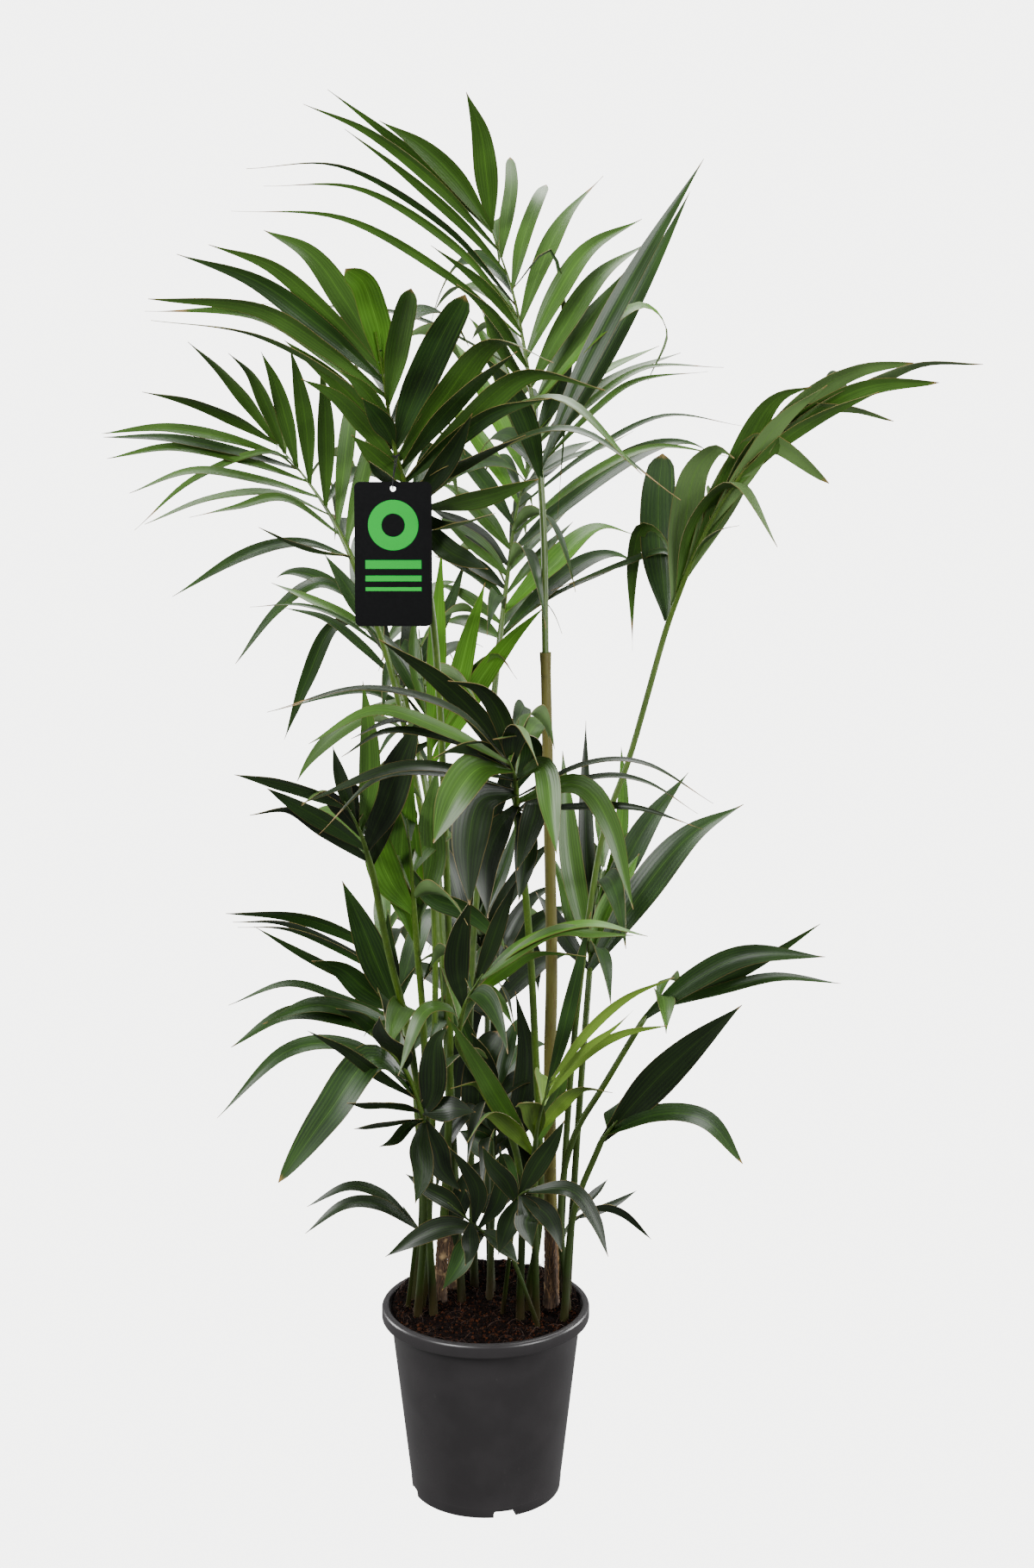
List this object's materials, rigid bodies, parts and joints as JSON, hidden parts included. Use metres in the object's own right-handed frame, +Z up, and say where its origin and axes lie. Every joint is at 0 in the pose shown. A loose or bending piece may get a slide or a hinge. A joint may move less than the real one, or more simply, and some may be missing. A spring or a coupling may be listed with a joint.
{
  "type": "potted palm plant",
  "caption": "Tall potted palm with arching feather-like fronds on slender stalks, in a round tapered nursery pot with a rolled rim, and a small hanging card.",
  "frame": {"origin": "middle of the flat underside of the pot", "axes": "+Z up along the pot's axis, +X to the right as seen from the front, +Y to the back"},
  "size_m": [0.9076, 0.9019, 1.5859],
  "materials": {
    "pot": "satin",
    "soil": "matte",
    "trunk": "matte",
    "stalk": "satin",
    "leaf": "satin",
    "card": "satin",
    "tie": "matte"
  },
  "bodies": {
    "root": {"pot": "pot", "soil": "soil", "trunk_right": "trunk", "trunk_left": "trunk", "trunk_middle": "trunk", "sheath_right": "stalk", "stalk_top": "stalk", "stalk_upper_left": "stalk", "stalk_left": "stalk", "stalk_back_left": "stalk", "stalk_back": "stalk", "stalk_inner_left": "stalk", "stalk_right": "stalk", "stalk_front": "stalk", "stalk_middle_left": "stalk", "stalk_front_left": "stalk", "stalk_low_left": "stalk", "stalk_low_front_left": "stalk", "stalk_back_right": "stalk", "stalk_middle": "stalk", "stalk_young": "stalk", "stalk_low_right": "stalk", "stalk_foot_right": "stalk", "stalk_seedling_left": "stalk", "stalk_seedling_front": "stalk", "stalk_seedling_middle": "stalk", "stalk_seedling_right": "stalk", "stalk_low_middle": "stalk", "stalk_low_back": "stalk", "frond_top": "leaf", "frond_upper_left": "leaf", "frond_left": "leaf", "frond_back_left": "leaf", "frond_back": "leaf", "frond_inner_left": "leaf", "frond_right_lower": "leaf", "frond_right_upper": "leaf", "frond_front": "leaf", "frond_middle_left": "leaf", "frond_front_left": "leaf", "frond_low_left": "leaf", "frond_low_front_left": "leaf", "frond_back_right": "leaf", "frond_middle": "leaf", "frond_young": "leaf", "frond_low_right": "leaf", "frond_foot_right": "leaf", "frond_seedling_left": "leaf", "frond_seedling_front": "leaf", "frond_seedling_middle": "leaf", "frond_seedling_right": "leaf", "frond_low_middle": "leaf", "frond_low_back": "leaf", "tag": "card", "tag_tie": "tie"}
  },
  "joints": []
}
